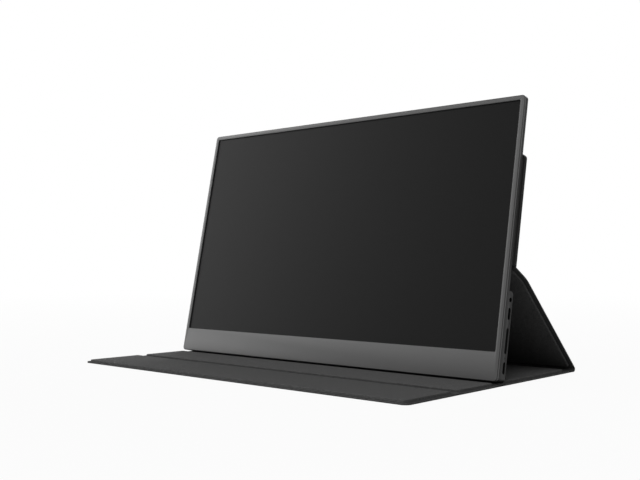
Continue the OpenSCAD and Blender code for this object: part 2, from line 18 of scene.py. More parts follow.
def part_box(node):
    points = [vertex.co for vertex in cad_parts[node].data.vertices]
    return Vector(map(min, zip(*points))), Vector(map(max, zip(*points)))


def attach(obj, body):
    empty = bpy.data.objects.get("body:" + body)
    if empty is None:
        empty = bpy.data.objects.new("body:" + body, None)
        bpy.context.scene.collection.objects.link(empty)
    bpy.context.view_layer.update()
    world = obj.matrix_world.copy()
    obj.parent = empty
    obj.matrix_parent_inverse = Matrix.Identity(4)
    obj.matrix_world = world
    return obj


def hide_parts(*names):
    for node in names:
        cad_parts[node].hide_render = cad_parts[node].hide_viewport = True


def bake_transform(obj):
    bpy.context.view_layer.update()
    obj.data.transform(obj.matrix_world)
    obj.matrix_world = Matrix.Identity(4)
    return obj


bl_info = {
    "name": "Portable Monitor With Cover",
    "version": (1, 0, 0),
    "blender": (4, 5, 0),
    "location": "View3D > Sidebar > Monitor",
    "description": "Builds a portable monitor in its folding cover around its packed frame",
    "category": "Object",
}

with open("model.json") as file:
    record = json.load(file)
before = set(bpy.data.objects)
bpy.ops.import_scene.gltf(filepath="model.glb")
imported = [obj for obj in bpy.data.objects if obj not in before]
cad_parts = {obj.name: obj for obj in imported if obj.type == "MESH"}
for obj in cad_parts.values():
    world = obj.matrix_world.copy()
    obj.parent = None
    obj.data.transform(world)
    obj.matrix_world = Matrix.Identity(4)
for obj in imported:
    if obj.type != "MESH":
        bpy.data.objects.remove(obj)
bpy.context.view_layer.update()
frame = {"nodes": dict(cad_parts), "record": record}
NODES = frame["nodes"]

MM = 0.001
X, Y, Z = 0, 1, 2
NEAR = 0.02 * MM  # places closer than this are the same
EXACT = 0.001 * MM  # the same, between points of one path
WELD = 0.002 * MM  # points closer than this are joined
OVERCUT = 1 * MM  # how far a cutter stands out of what it cuts
FINE_EDGE = 0.12 * MM  # slight rounding of thin sheets and of holes


def reach(node, axis):
    """Lowest and highest place of one of the frame's nodes along an axis."""
    low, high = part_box(node)
    return low[axis], high[axis]


# ---- Settings ----


class MonitorSizes(bpy.types.PropertyGroup):
    """Sizes of the monitor's casing."""

    width: FloatProperty(
        name="Width", description="Width of the casing", default=2 * reach("front_bezel", X)[1], unit="LENGTH"
    )
    height: FloatProperty(
        name="Height", description="Height of the casing", default=218.4 * MM, unit="LENGTH"
    )
    side_bezel: FloatProperty(
        name="Side bezel", description="Bezel beside and above the screen", default=3.7 * MM, unit="LENGTH"
    )
    chin: FloatProperty(name="Chin", description="Bezel below the screen", default=21.3 * MM, unit="LENGTH")
    lip: FloatProperty(
        name="Lip", description="Depth of the screen behind the bezel's face", default=1 * MM, unit="LENGTH"
    )
    bezel_depth: FloatProperty(
        name="Bezel depth", description="Depth of the bezel at its rim", default=2 * MM, unit="LENGTH"
    )
    # The chamfer's dark colour is painted: a painted reflection of dark surroundings.
    chamfer: FloatProperty(
        name="Chamfer", description="Dark edge round the bezel", default=0.5 * MM, unit="LENGTH"
    )
    parting: FloatProperty(
        name="Parting line", description="Gap behind the bezel", default=0.45 * MM, unit="LENGTH"
    )
    parting_in: FloatProperty(
        name="Parting depth", description="Depth of that gap", default=0.7 * MM, unit="LENGTH"
    )
    thin_depth: FloatProperty(
        name="Thin depth", description="Depth of the upper part", default=5.8 * MM, unit="LENGTH"
    )
    band_depth: FloatProperty(
        name="Band depth", description="Depth of the thick band", default=11 * MM, unit="LENGTH"
    )
    band_height: FloatProperty(
        name="Band height", description="Height of the thick band", default=67.3 * MM, unit="LENGTH"
    )
    corner: FloatProperty(name="Corner", description="Radius of the corners", default=3 * MM, unit="LENGTH")
    wall: FloatProperty(name="Wall", description="Thickness of the sides", default=1.2 * MM, unit="LENGTH")
    back_wall: FloatProperty(
        name="Back wall", description="Thickness of the back", default=1 * MM, unit="LENGTH"
    )
    back_round: FloatProperty(
        name="Back edges", description="Rounding at the thin part's rear", default=1.2 * MM, unit="LENGTH"
    )
    lean: FloatProperty(name="Lean", description="Backward lean", default=math.radians(11.6), unit="ROTATION")
    stand_y: FloatProperty(
        name="Stand Y", description="Y of the lower front edge", default=-5.5559 * MM, unit="LENGTH"
    )
    stand_z: FloatProperty(
        name="Stand Z", description="Z of the lower front edge", default=3.8144 * MM, unit="LENGTH"
    )
    port_depth: FloatProperty(
        name="Socket depth", description="Depth of the sockets' centre line", default=7.9 * MM, unit="LENGTH"
    )


class CoverSizes(bpy.types.PropertyGroup):
    """Sizes of the folding cover."""

    width: FloatProperty(
        name="Width", description="Width of the cover", default=2 * reach("rear_base_skin", X)[1],
        unit="LENGTH"
    )
    skin: FloatProperty(
        name="Skin", description="Thickness of the skin", default=reach("rear_base_skin", Z)[1], unit="LENGTH"
    )
    soft: FloatProperty(
        name="Soft sheet", description="Thickness of skin and lining together",
        default=reach("groove_lining", Z)[1], unit="LENGTH"
    )
    top: FloatProperty(
        name="Top", description="Height of a covered board", default=reach("rear_base_lining", Z)[1],
        unit="LENGTH"
    )
    corner: FloatProperty(
        name="Corner", description="Radius of the front corners", default=5 * MM, unit="LENGTH"
    )
    board_corner: FloatProperty(
        name="Board corner", description="Radius of the raised lining's front corners", default=2 * MM,
        unit="LENGTH"
    )
    rim: FloatProperty(
        name="Rim", description="Rounding of the raised lining's upper edge", default=0.42 * MM, unit="LENGTH"
    )
    draw_in: FloatProperty(
        name="Draw in", description="How far the raised lining stops short at the sides", default=0.8 * MM,
        unit="LENGTH"
    )
    foot_y: FloatProperty(
        name="Foot fold", description="Y of the foot fold's axis", default=113.656 * MM, unit="LENGTH"
    )
    roll: FloatProperty(
        name="Foot roll", description="Radius of the foot fold", default=2.2 * MM, unit="LENGTH"
    )
    leg_turn: FloatProperty(
        name="Leg angle", description="Turn of the leg from flat", default=math.radians(136.833),
        unit="ROTATION"
    )
    leg: FloatProperty(name="Leg", description="From foot to bend", default=107 * MM, unit="LENGTH")
    ramp: FloatProperty(name="Ramp", description="From bend to top fold", default=19.2 * MM, unit="LENGTH")
    bend: FloatProperty(
        name="Bend", description="Angle of the leg's bend", default=math.radians(14), unit="ROTATION"
    )
    bend_radius: FloatProperty(
        name="Bend radius", description="Radius of the leg's bend", default=44 * MM, unit="LENGTH"
    )
    leg_start: FloatProperty(
        name="Leg start", description="Where the leg's sheets start", default=2.4 * MM, unit="LENGTH"
    )
    leg_board: FloatProperty(
        name="Leg board", description="Where the leg's raised lining starts", default=3.05 * MM, unit="LENGTH"
    )
    fold_depth: FloatProperty(
        name="Top fold depth", description="Depth of its axis behind the bezel's face", default=8.6 * MM,
        unit="LENGTH"
    )
    fold_height: FloatProperty(
        name="Top fold height", description="Height of its axis up the monitor", default=85.5 * MM,
        unit="LENGTH"
    )
    panel_low: FloatProperty(
        name="Back panel low", description="Height of its lower edge", default=86.5 * MM, unit="LENGTH"
    )
    panel_top: FloatProperty(
        name="Back panel top", description="Height of its upper edge", default=173 * MM, unit="LENGTH"
    )
    panel_depth: FloatProperty(
        name="Back panel depth", description="Thickness of the panel and its lining", default=3.9 * MM,
        unit="LENGTH"
    )
    panel_corner: FloatProperty(
        name="Panel corner", description="Radius of its upper corners", default=3.5 * MM, unit="LENGTH"
    )


class FinishColours(bpy.types.PropertyGroup):
    """Colours of the finishes and of the floor."""

    bezel: FloatVectorProperty(
        name="Bezel", description="Plastic of the front bezel", size=3, default=(0.088,) * 3, subtype="COLOR"
    )
    housing: FloatVectorProperty(
        name="Housing", description="Plastic of the housing", size=3, default=(0.022,) * 3, subtype="COLOR"
    )
    screen: FloatVectorProperty(
        name="Screen", description="Screen while it is off", size=3, default=(0.0065,) * 3, subtype="COLOR"
    )
    skin: FloatVectorProperty(
        name="Outer skin", description="Outside of the cover", size=3, default=(0.013,) * 3, subtype="COLOR"
    )
    lining: FloatVectorProperty(
        name="Inner lining", description="Inside of the cover", size=3, default=(0.048,) * 3, subtype="COLOR"
    )
    floor: FloatVectorProperty(
        name="Floor", description="Floor in the object's light", size=3, default=(0.42,) * 3, subtype="COLOR"
    )


# ---- Modelling ----


def object_mode():
    bpy.ops.object.mode_set(mode="OBJECT")


def deselect():
    if bpy.context.object and bpy.context.object.mode != "OBJECT":
        object_mode()
    bpy.ops.object.select_all(action="DESELECT")


def pick(obj):
    deselect()
    obj.select_set(True)
    bpy.context.view_layer.objects.active = obj


def edit(obj, kind):
    """Opens obj in edit mode with nothing selected. kind is VERT, EDGE or FACE."""
    pick(obj)
    bpy.ops.object.mode_set(mode="EDIT")
    bpy.ops.mesh.select_mode(type=kind)
    bpy.ops.mesh.select_all(action="DESELECT")


def select(obj, kind, test):
    """Selects the items of obj's mesh that pass test. kind is edges or faces."""
    mesh = bmesh.from_edit_mesh(obj.data)
    found = [item for item in getattr(mesh, kind) if test(item)]
    if not found:
        raise RuntimeError(f"{obj.name}: nothing to select in its {kind}")
    for item in found:
        item.select_set(True)
    bmesh.update_edit_mesh(obj.data)


def middle(edge):
    return (edge.verts[0].co + edge.verts[1].co) / 2


def centre(face):
    return face.calc_center_median()


def runs_along(edge, axis):
    line = edge.verts[1].co - edge.verts[0].co
    return abs(line[axis]) > 0.999 * line.length


def near(a, b, room=NEAR):
    return abs(a - b) < room


def both(edge, axis, value):
    """Both ends of the edge lie at that place along the axis."""
    return all(near(vertex.co[axis], value) for vertex in edge.verts)


def sharp(edge, least=0.6):
    """The faces beside the edge turn by more than least, in radians."""
    return len(edge.link_faces) == 2 and edge.calc_face_angle(0) > least


def box(name, low, high):
    deselect()
    low, high = Vector(low), Vector(high)
    bpy.ops.mesh.primitive_cube_add(size=1, location=(low + high) / 2)
    obj = bpy.context.object
    obj.scale = high - low
    bpy.ops.object.transform_apply()
    obj.name = obj.data.name = name
    return obj


def plate(name, width, low, high, front, back, radius=0.0, segments=8):
    """Plate that faces the viewer, with round corners."""
    obj = box(name, (-width / 2, front, low), (width / 2, back, high))
    if radius:
        bevel(obj, radius, segments, lambda e: runs_along(e, Y))
    return obj


def bevel(obj, width, segments, test, shade=0.0):
    """Rounds the edges that pass test. shade is kept on the new faces as their edge attribute, a mark for
    painted light or shade.
    """
    edit(obj, "EDGE")
    select(obj, "edges", test)
    bpy.ops.mesh.bevel(
        offset_type="OFFSET", offset=width, segments=segments, affect="EDGES", clamp_overlap=True
    )
    if shade:
        mark(obj, lambda face: face.select, shade)
    object_mode()


def mark(obj, test, shade, name="edge"):
    """Keeps shade on the faces that pass test, as their attribute of that name: a mark for painted light or
    shade.
    """
    if obj.mode != "EDIT":
        edit(obj, "FACE")
    mesh = bmesh.from_edit_mesh(obj.data)
    layer = mesh.faces.layers.float.get(name) or mesh.faces.layers.float.new(name)
    for face in filter(test, mesh.faces):
        face[layer] = shade
    bmesh.update_edit_mesh(obj.data)
    object_mode()


def apply_modifiers(obj):
    pick(obj)
    for name in [modifier.name for modifier in obj.modifiers]:
        bpy.ops.object.modifier_apply(modifier=name)


def cut(obj, *cutters, operation="DIFFERENCE"):
    for cutter in cutters:
        modifier = obj.modifiers.new("Cut", "BOOLEAN")
        modifier.object, modifier.operation, modifier.solver = cutter, operation, "EXACT"
        apply_modifiers(obj)
        bpy.data.objects.remove(cutter)


def union(obj, other):
    cut(obj, other, operation="UNION")
    clean(obj)


def clean(obj):
    edit(obj, "VERT")
    bpy.ops.mesh.select_all(action="SELECT")
    bpy.ops.mesh.remove_doubles(threshold=WELD)
    bpy.ops.mesh.normals_make_consistent(inside=False)
    object_mode()


def place(obj, matrix):
    pick(obj)
    obj.matrix_world = matrix @ obj.matrix_world
    bpy.ops.object.transform_apply()


def monitor_place(sizes):
    """From the monitor's own upright frame to its place in the part."""
    return Matrix.Translation((0, sizes.stand_y, sizes.stand_z)) @ Matrix.Rotation(-sizes.lean, 4, "X")


def leg_place(cover):
    """From the leg laid flat, with its foot fold at the origin, to its place in the part."""
    return (
        Matrix.Translation((0, cover.foot_y, cover.roll))
        @ Matrix.Rotation(cover.leg_turn, 4, "X")
        @ Matrix.Translation((0, 0, -cover.roll))
    )


def finish_piece(obj, body, slot, replaced=(), angle=35):
    """Smooths obj below that angle, gives it its finish and its body, and hides the nodes that it replaces.
    """
    pick(obj)
    bpy.ops.object.shade_smooth_by_angle(angle=math.radians(angle))
    obj.data.materials.clear()
    obj.data.materials.append(finish_of(slot))
    if body:
        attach(obj, body)
    if replaced:
        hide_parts(*replaced)


# ---- Materials ----

MIX_INPUTS = (0, 6, 7)  # factor and two colours, of a Mix node that is set to colours
MIX_RESULT = 2


class Surface:
    """A material with its nodes, and short ways to add to them."""

    def __init__(self, name, colour, roughness, specular=0.5, metallic=0.0):
        self.material = bpy.data.materials.new(f"{name}_finish")
        self.material.use_nodes = True
        self.tree = self.material.node_tree
        self.shader = self.tree.nodes["Principled BSDF"]
        self.shader.inputs["Roughness"].default_value = roughness
        self.shader.inputs["Specular IOR Level"].default_value = specular
        self.shader.inputs["Metallic"].default_value = metallic
        self.shader.inputs["Base Color"].default_value = (*colour, 1)
        self.colour = colour
        self.place = self.add("ShaderNodeTexCoord").outputs["Object"]
        self.normal = None

    def add(self, kind, **inputs):
        node = self.tree.nodes.new(kind)
        for name, value in inputs.items():
            self.link(value, node.inputs[name.replace("_", " ")])
        return node

    def link(self, value, socket):
        """Links a socket, or sets a constant."""
        if isinstance(value, bpy.types.NodeSocket):
            self.tree.links.new(value, socket)
        else:
            socket.default_value = value

    def noise(self, scale, detail=3.0, roughness=0.5, distortion=0.0, vector=None):
        node = self.add(
            "ShaderNodeTexNoise", Scale=scale, Detail=detail, Roughness=roughness, Distortion=distortion
        )
        self.link(vector or self.place, node.inputs["Vector"])
        return node.outputs["Fac"]

    def cells(self, scale, vector):
        """Distance to the edge of the nearest cell."""
        node = self.add("ShaderNodeTexVoronoi", Scale=scale)
        node.feature = "DISTANCE_TO_EDGE"
        self.link(vector, node.inputs["Vector"])
        return node.outputs["Distance"]

    def stretched(self, x, y, z):
        node = self.add("ShaderNodeMapping", Scale=(x, y, z))
        self.link(self.place, node.inputs["Vector"])
        return node.outputs["Vector"]

    def span(self, value, low, high, to_low=0.0, to_high=1.0):
        node = self.add("ShaderNodeMapRange")
        for socket, number in zip(node.inputs, (value, low, high, to_low, to_high)):
            self.link(number, socket)
        return node.outputs["Result"]

    def combine(self, first, second, operation="ADD"):
        node = self.tree.nodes.new("ShaderNodeMath")
        node.operation = operation
        self.link(first, node.inputs[0])
        self.link(second, node.inputs[1])
        return node.outputs[0]

    def shade(self, scale):
        """The base colour times scale."""
        return (*[min(1, part * scale) for part in self.colour], 1)

    def mix(self, share, first, second):
        """Makes the base colour a mix of two colours."""
        node = self.tree.nodes.new("ShaderNodeMix")
        node.data_type = "RGBA"
        for index, value in zip(MIX_INPUTS, (share, first, second)):
            self.link(value, node.inputs[index])
        self.link(node.outputs[MIX_RESULT], self.shader.inputs["Base Color"])

    def tint(self, value, dark, light):
        """Colour from dark to light times the base colour, by value."""
        self.mix(value, self.shade(dark), self.shade(light))

    def paint_light_and_shade(self, scale, speckle=None, name="edge"):
        """Paints light or shade: faces with that attribute take scale times the base colour, evenly or in
        speckles.
        """
        share = self.add("ShaderNodeAttribute")
        share.attribute_name = name
        share = share.outputs["Fac"]
        if speckle:
            share = self.combine(share, self.span(speckle, 0.42, 0.62), "MULTIPLY")
        before = self.shader.inputs["Base Color"].links[0].from_socket
        self.mix(share, before, self.shade(scale))

    def vary_roughness(self, value, less, more):
        self.link(self.span(value, 0.3, 0.7, less, more), self.shader.inputs["Roughness"])

    def bump(self, height, strength, distance):
        node = self.add("ShaderNodeBump", Height=height, Strength=strength, Distance=distance)
        if self.normal:
            self.link(self.normal, node.inputs["Normal"])
        self.normal = node.outputs["Normal"]
        self.link(self.normal, self.shader.inputs["Normal"])


def leather(name, colour, roughness, pebble, specular, contrast, edge, relief=1.0):
    """Grained artificial leather: pebbles with creases between them, pores and slow changes of shade."""
    surface = Surface(name, colour, roughness, specular)
    warp = surface.noise(90, 2)
    drift = surface.add(
        "ShaderNodeCombineXYZ", X=surface.span(warp, 0, 1, 0, 1.5 * MM),
        Y=surface.span(warp, 0, 1, 1.2 * MM, 0)
    )
    shift = surface.add("ShaderNodeVectorMath")
    surface.link(surface.place, shift.inputs[0])
    surface.link(drift.outputs[0], shift.inputs[1])
    warped = shift.outputs[0]
    raised = surface.span(surface.cells(1 / pebble, warped), 0.0, 0.22)
    small = surface.cells(2.6 / pebble, warped)
    pores = surface.noise(2600, 2, 0.6)
    cloud = surface.noise(24, 3, 0.6)
    shade = surface.combine(surface.span(raised, 0, 1, 0.0, 0.55), surface.span(cloud, 0.3, 0.7, 0.0, 0.45))
    surface.tint(shade, 1 - contrast, 1 + contrast)
    surface.paint_light_and_shade(edge, surface.noise(2100, 2, 0.55))
    # Faces marked in the grooves take speckles of painted light, up to 2.2 times the colour.
    surface.paint_light_and_shade(2.2, surface.noise(620, 2, 0.6), "crease")
    worn = surface.combine(cloud, surface.span(raised, 0, 1, 0.06, -0.06))
    surface.vary_roughness(worn, roughness - 0.05, roughness + 0.06)
    surface.bump(raised, 0.4 * relief, 0.06 * MM)
    surface.bump(surface.span(small, 0, 0.3), 0.25 * relief, 0.03 * MM)
    surface.bump(pores, 0.15 * relief, 0.02 * MM)


def moulded(name, colour, roughness, specular=0.4, edge=None):
    """Spark-eroded plastic: a very fine even texture with slight changes of shade."""
    grain, depth = 0.28 * MM, 0.012 * MM
    surface = Surface(name, colour, roughness, specular)
    fine = surface.noise(1 / grain, 4, 0.62)
    cloud = surface.noise(16, 3, 0.55)
    shade = surface.combine(surface.span(fine, 0.3, 0.7, 0, 0.5), surface.span(cloud, 0.3, 0.7, 0, 0.5))
    surface.tint(shade, 0.95, 1.05)
    # Marked faces take edge times the colour: a painted dark reflection on the bezel's chamfer, painted shade
    # in the housing's gap and holes.
    if edge is not None:
        surface.paint_light_and_shade(edge)
    surface.vary_roughness(cloud, roughness - 0.03, roughness + 0.04)
    surface.bump(fine, 0.35, depth)


def screen_film(name, colour):
    """Anti-glare film: dark, with a fine haze."""
    surface = Surface(name, colour, 0.42, 0.08)
    haze = surface.noise(5200, 2, 0.5)
    cloud = surface.noise(7, 2, 0.4)
    surface.tint(cloud, 0.96, 1.04)
    surface.vary_roughness(cloud, 0.41, 0.43)
    surface.bump(haze, 0.12, 0.004 * MM)


def rubber(name, colour, ribs=False):
    surface = Surface(name, colour, 0.72, 0.3)
    fine = surface.noise(1900, 3, 0.6)
    surface.tint(fine, 0.85, 1.15)
    surface.vary_roughness(fine, 0.68, 0.78)
    if ribs:
        wave = surface.add("ShaderNodeTexWave", Scale=110.0, Detail=0.0, Distortion=0.0)
        wave.bands_direction = "Y"
        surface.link(surface.place, wave.inputs["Vector"])
        surface.bump(wave.outputs["Fac"], 0.6, 0.12 * MM)
    surface.bump(fine, 0.25, 0.02 * MM)


def sheet_metal(name, colour, roughness, grain=(20, 900, 900)):
    """Rolled or plated metal with fine lines, by default along X."""
    surface = Surface(name, colour, roughness, 0.5, 1.0)
    lines = surface.noise(1.0, 3, 0.6, vector=surface.stretched(*grain))
    surface.tint(lines, 0.82, 1.12)
    surface.vary_roughness(lines, roughness - 0.08, roughness + 0.1)
    surface.bump(lines, 0.15, 0.01 * MM)


def circuit_board(name, colour):
    """Solder mask over copper lines and pads."""
    surface = Surface(name, colour, 0.35, 0.5)
    bricks = surface.add(
        "ShaderNodeTexBrick", Vector=surface.place, Scale=220.0, Mortar_Size=0.06, Color1=surface.shade(1.5),
        Color2=surface.shade(1.2), Mortar=surface.shade(0.75)
    )
    surface.link(bricks.outputs["Color"], surface.shader.inputs["Base Color"])
    surface.bump(bricks.outputs["Fac"], 0.3, -0.03 * MM)
    surface.vary_roughness(surface.noise(40), 0.3, 0.42)


def clear_film(name, colour, roughness):
    """Smooth sheet or glass, drawn as solid."""
    surface = Surface(name, colour, roughness, 0.5)
    cloud = surface.noise(30, 2)
    surface.tint(cloud, 0.94, 1.04)
    surface.vary_roughness(cloud, roughness - 0.04, roughness + 0.05)
    surface.bump(surface.noise(1500, 2), 0.1, 0.005 * MM)


def fibre_board(name, colour):
    surface = Surface(name, colour, 0.85, 0.2)
    fibres = surface.noise(1.0, 5, 0.65, 0.4, surface.stretched(350, 2200, 2200))
    surface.tint(fibres, 0.75, 1.2)
    surface.vary_roughness(fibres, 0.8, 0.92)
    surface.bump(fibres, 0.4, 0.05 * MM)


def make_finishes(colours):
    """Makes every finish. Each has the name of the record's slot that it fills."""
    # The bezel's marked chamfer takes 0.12 of its colour: a painted dark reflection.
    moulded("bezel_plastic", colours.bezel, 0.43, specular=0.35, edge=0.12)
    # The housing's marked faces take 0.1 of its colour: painted shade in the parting gap and the side holes.
    moulded("housing_plastic", colours.housing, 0.5, specular=0.16, edge=0.1)
    rubber("gasket_rubber", (0.006, 0.006, 0.006))
    screen_film("screen_surface", colours.screen)
    clear_film("cell_glass", (0.05, 0.055, 0.06), 0.12)
    clear_film("optical_film", (0.8, 0.81, 0.82), 0.4)
    clear_film("guide_plastic", (0.72, 0.8, 0.8), 0.15)
    clear_film("reflector_film", (0.86, 0.86, 0.86), 0.3)
    clear_film("led_strip", (0.75, 0.68, 0.35), 0.4)
    moulded("frame_plastic", (0.02, 0.02, 0.02), 0.5)
    sheet_metal("sheet_steel", (0.55, 0.56, 0.57), 0.32)
    circuit_board("board_green", (0.02, 0.1, 0.045))
    clear_film("flex_amber", (0.45, 0.2, 0.04), 0.3)
    sheet_metal("screw_steel", (0.55, 0.55, 0.56), 0.3, grain=(900, 900, 900))
    sheet_metal("socket_steel", (0.012, 0.012, 0.013), 0.6, grain=(900, 900, 60))
    moulded("jack_plastic", (0.004, 0.004, 0.004), 0.7, specular=0.1)
    moulded("key_plastic", (0.003, 0.003, 0.003), 0.8, specular=0.02)
    moulded("switch_plastic", (0.1, 0.1, 0.1), 0.5)
    clear_film("light_plastic", (0.03, 0.032, 0.034), 0.2)
    moulded("speaker_plastic", (0.02, 0.02, 0.02), 0.55)
    # The skin's marked sides take six times its colour in speckles: painted light on the cover's edges.
    leather("cover_skin", colours.skin, 0.66, pebble=0.95 * MM, specular=0.08, contrast=0.14, edge=6)
    # The lining's marked rims, walls and side band take up to 2.9 times its colour in speckles: painted
    # highlights.
    leather(
        "cover_lining", colours.lining, 0.8, pebble=0.6 * MM, specular=0.02, contrast=0.08, edge=2.9,
        relief=0.7
    )
    fibre_board("cover_board", (0.3, 0.22, 0.14))
    rubber("grip_rubber", (0.015, 0.015, 0.015), ribs=True)
    sheet_metal("magnet_metal", (0.5, 0.51, 0.53), 0.25)


def finish_of(slot):
    return bpy.data.materials[f"{slot}_finish"]


class MONITOR_OT_finishes(bpy.types.Operator):
    """Make every finish and give the frame's own nodes theirs"""

    bl_idname = "monitor.finishes"
    bl_label = "Finishes"

    def execute(self, context):
        make_finishes(context.scene.finish_colours)
        for row in frame["record"]["subparts"]:
            data = NODES[row["node"]].data
            data.materials.clear()
            data.materials.append(finish_of(row["material_slot"]))
        return {"FINISHED"}


# ---- Monitor ----

WINDOW_CORNER = 0.8 * MM
WINDOW_EDGE = 0.18 * MM  # rounding of the window's front edge
BAND_CORNER = 2.5 * MM  # rounding of the thick band's upper rear edge
BAND_EDGE = 0.5 * MM  # rounding of its other rear edges
PAST_WALL = 0.6 * MM  # how far a hole's cutter reaches in past the wall

# Holes in the right side: name, height over the lower edge, length, width, segments of each round end
SIDE_HOLES = (
    ("jack_hole", 61 * MM, 3.6 * MM, 3.6 * MM, 12),
    ("upper_hole", 50.5 * MM, 8.94 * MM, 3.16 * MM, 10),
    ("lower_hole", 10.5 * MM, 8.94 * MM, 3.16 * MM, 10),
    ("key_hole", 30.5 * MM, 19.2 * MM, 2.9 * MM, 10),
    ("light_hole", 17.8 * MM, 1.2 * MM, 1.2 * MM, 8),
)
SIDE_HOLES_LOW, SIDE_HOLES_HIGH = 4 * MM, 64 * MM  # all of them lie between these heights

SPEAKER_X = 97.5 * MM  # middle of a speaker, left or right
SLOTS = 8
SLOT_WIDTH = 1.2 * MM
SLOT_LOW, SLOT_HIGH = 7 * MM, 15 * MM
SLOT_ROUND = 0.58 * MM


class MONITOR_OT_bezel(bpy.types.Operator):
    """Model the front bezel with its window and its chamfer, painted dark as a painted reflection"""

    bl_idname = "monitor.bezel"
    bl_label = "Front bezel"

    def execute(self, context):
        sizes = context.scene.monitor_sizes
        half, top = sizes.width / 2, sizes.height
        back = sizes.bezel_depth + OVERCUT
        bezel = plate("bezel", sizes.width, 0, top, 0, sizes.bezel_depth, sizes.corner, 12)
        window = plate(
            "window", sizes.width - 2 * sizes.side_bezel, sizes.chin, top - sizes.side_bezel, -OVERCUT, back,
            WINDOW_CORNER, 6
        )
        pocket = plate(
            "pocket", sizes.width - 2 * sizes.wall, sizes.wall, top - sizes.wall, sizes.lip, back,
            sizes.corner - sizes.wall, 6
        )
        cut(bezel, window, pocket)
        clean(bezel)

        def on_face(edge, outer):
            """The edge is on the front, round the outside or else round the window."""
            if not (both(edge, Y, 0) and sharp(edge, 0.5)):
                return False
            x, _, z = middle(edge)
            inside = abs(x) < half - sizes.corner and sizes.chin - MM < z < top - sizes.corner
            return inside != outer

        # The chamfer's faces are marked, and the bezel's finish paints them dark: a painted reflection.
        bevel(bezel, sizes.chamfer, 2, lambda e: on_face(e, True), 1.0)
        bevel(bezel, WINDOW_EDGE, 2, lambda e: on_face(e, False))
        place(bezel, monitor_place(sizes))
        finish_piece(bezel, "screen", "bezel_plastic", ["front_bezel"])
        return {"FINISHED"}


def side_hole(name, height, length, width, segments, depth, inner, outer):
    """Cutter through the right side with rounded ends: length runs up the side."""
    hole = box(
        name, (inner, depth - width / 2, height - length / 2), (outer, depth + width / 2, height + length / 2)
    )
    almost_half = width / 2 * 0.999
    bevel(hole, almost_half, segments, lambda e: runs_along(e, X))
    return hole


